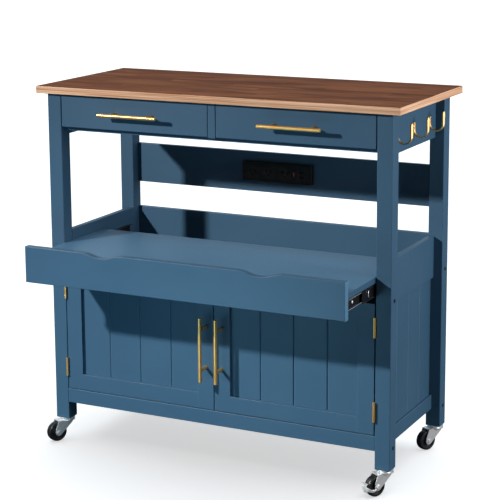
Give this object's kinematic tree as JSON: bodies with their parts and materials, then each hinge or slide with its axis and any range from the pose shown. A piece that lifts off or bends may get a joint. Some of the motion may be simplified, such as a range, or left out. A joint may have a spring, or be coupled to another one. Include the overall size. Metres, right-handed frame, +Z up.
{
  "type": "kitchen island cart",
  "caption": "Kitchen island cart on swivel casters: wooden worktop, drawers, pull-out tray, cabinet with plank-panel doors, rear power strip and side hooks.",
  "frame": {"origin": "bottom centre of the whole cart on the floor, with the tray at its half-open rest place", "axes": "+X to the right seen from the front, +Y to the back, +Z up"},
  "size_m": [0.958, 0.581, 0.914],
  "materials": {
    "blue_paint": "satin paint",
    "worktop_wood": "satin lacquer",
    "bare_wood": "plain planed",
    "brass": "satin brushed",
    "black_steel": "black dip coat",
    "black_plastic": "matte",
    "socket_plastic": "fine satin",
    "wheel_rubber": "matte",
    "zinc": "bright zinc plate"
  },
  "bodies": {
    "cabinet": {"apron_left": "blue_paint", "apron_rear": "blue_paint", "apron_right": "blue_paint", "back_panel": "blue_paint", "bottom_rails": "blue_paint", "cabinet_floor": "blue_paint", "caster_stems": "zinc", "door_catch": "black_plastic", "drawer_divider": "blue_paint", "drawer_lower_rail": "blue_paint", "drawer_runners": "bare_wood", "gallery_back": "blue_paint", "hinge_frame_leaves": "brass", "hook_screws": "brass", "inner_shelf": "blue_paint", "leg_front_left": "blue_paint", "leg_front_right": "blue_paint", "leg_rear_left": "blue_paint", "leg_rear_right": "blue_paint", "leg_screws": "zinc", "outlet_rail": "blue_paint", "power_sockets": "socket_plastic", "power_strip": "black_plastic", "shelf_pins": "zinc", "side_board_left": "blue_paint", "side_board_right": "blue_paint", "side_hooks": "brass", "side_panel_left": "blue_paint", "side_panel_right": "blue_paint", "slide_outer_members": "black_steel", "worktop": "worktop_wood"},
    "tray": {"tray_front": "blue_paint", "tray_deck": "blue_paint", "tray_sides": "blue_paint", "slide_inner_members": "black_steel"},
    "slide_middles": {"slide_middle_members": "black_steel"},
    "drawer_left": {"drawer_front_left": "blue_paint", "drawer_box_left": "bare_wood", "drawer_pull_left": "brass"},
    "door_left": {"door_frame_left": "blue_paint", "door_panel_left": "blue_paint", "door_pull_left": "brass", "door_hardware_left": "brass"},
    "drawer_right": {"drawer_front_right": "blue_paint", "drawer_box_right": "bare_wood", "drawer_pull_right": "brass"},
    "door_right": {"door_frame_right": "blue_paint", "door_panel_right": "blue_paint", "door_pull_right": "brass", "door_hardware_right": "brass"},
    "swivel_front_left": {"caster_fork_front_left": "zinc"},
    "wheel_front_left": {"caster_wheel_front_left": "wheel_rubber"},
    "swivel_front_right": {"caster_fork_front_right": "zinc"},
    "wheel_front_right": {"caster_wheel_front_right": "wheel_rubber"},
    "brake_front_right": {"brake_lever_front_right": "zinc"},
    "swivel_rear_left": {"caster_fork_rear_left": "zinc"},
    "wheel_rear_left": {"caster_wheel_rear_left": "wheel_rubber"},
    "brake_rear_left": {"brake_lever_rear_left": "zinc"},
    "swivel_rear_right": {"caster_fork_rear_right": "zinc"},
    "wheel_rear_right": {"caster_wheel_rear_right": "wheel_rubber"}
  },
  "joints": [
    {"name": "tray_slide", "type": "slide", "parent": "cabinet", "child": "tray", "axis": [0, -1, 0], "range_m": [-0.1755, 0.0745]},
    {"name": "slide_middle_run", "type": "slide", "parent": "cabinet", "child": "slide_middles", "axis": [0, -1, 0], "range_m": [-0.08775, 0.03725]},
    {"name": "drawer_slide_left", "type": "slide", "parent": "cabinet", "child": "drawer_left", "axis": [0, -1, 0], "range_m": [0, 0.25]},
    {"name": "drawer_slide_right", "type": "slide", "parent": "cabinet", "child": "drawer_right", "axis": [0, -1, 0], "range_m": [0, 0.25]},
    {"name": "door_hinge_left", "type": "hinge", "parent": "cabinet", "child": "door_left", "pos_m": [-0.41675, -0.1184, 0.30075], "axis": [0, 0, -1], "range_deg": [0, 110]},
    {"name": "door_hinge_right", "type": "hinge", "parent": "cabinet", "child": "door_right", "pos_m": [0.41675, -0.1184, 0.30075], "axis": [0, 0, 1], "range_deg": [0, 110]},
    {"name": "caster_swivel_front_left", "type": "hinge", "parent": "cabinet", "child": "swivel_front_left", "pos_m": [-0.437, -0.096, 0.055], "axis": [0, 0, 1], "continuous": true},
    {"name": "wheel_spin_front_left", "type": "hinge", "parent": "swivel_front_left", "child": "wheel_front_left", "pos_m": [-0.4516, -0.12278, 0.025], "axis": [-0.878, 0.4787, 0], "continuous": true},
    {"name": "caster_swivel_front_right", "type": "hinge", "parent": "cabinet", "child": "swivel_front_right", "pos_m": [0.437, -0.096, 0.055], "axis": [0, 0, 1], "continuous": true},
    {"name": "wheel_spin_front_right", "type": "hinge", "parent": "swivel_front_right", "child": "wheel_front_right", "pos_m": [0.4224, -0.12278, 0.025], "axis": [-0.878, 0.4787, 0], "continuous": true},
    {"name": "brake_press_front_right", "type": "hinge", "parent": "swivel_front_right", "child": "brake_front_right", "pos_m": [0.4224, -0.12278, 0.025], "axis": [0.878, -0.4787, 0], "range_deg": [0, 20]},
    {"name": "caster_swivel_rear_left", "type": "hinge", "parent": "cabinet", "child": "swivel_rear_left", "pos_m": [-0.437, 0.247, 0.055], "axis": [0, 0, 1], "continuous": true},
    {"name": "wheel_spin_rear_left", "type": "hinge", "parent": "swivel_rear_left", "child": "wheel_rear_left", "pos_m": [-0.4516, 0.22022, 0.025], "axis": [-0.878, 0.4787, 0], "continuous": true},
    {"name": "brake_press_rear_left", "type": "hinge", "parent": "swivel_rear_left", "child": "brake_rear_left", "pos_m": [-0.4516, 0.22022, 0.025], "axis": [0.878, -0.4787, 0], "range_deg": [0, 20]},
    {"name": "caster_swivel_rear_right", "type": "hinge", "parent": "cabinet", "child": "swivel_rear_right", "pos_m": [0.437, 0.247, 0.055], "axis": [0, 0, 1], "continuous": true},
    {"name": "wheel_spin_rear_right", "type": "hinge", "parent": "swivel_rear_right", "child": "wheel_rear_right", "pos_m": [0.4224, 0.22022, 0.025], "axis": [-0.878, 0.4787, 0], "continuous": true}
  ],
  "couplings": [
    {"joint": "slide_middle_run", "follows": "tray_slide", "ratio": 0.5}
  ]
}
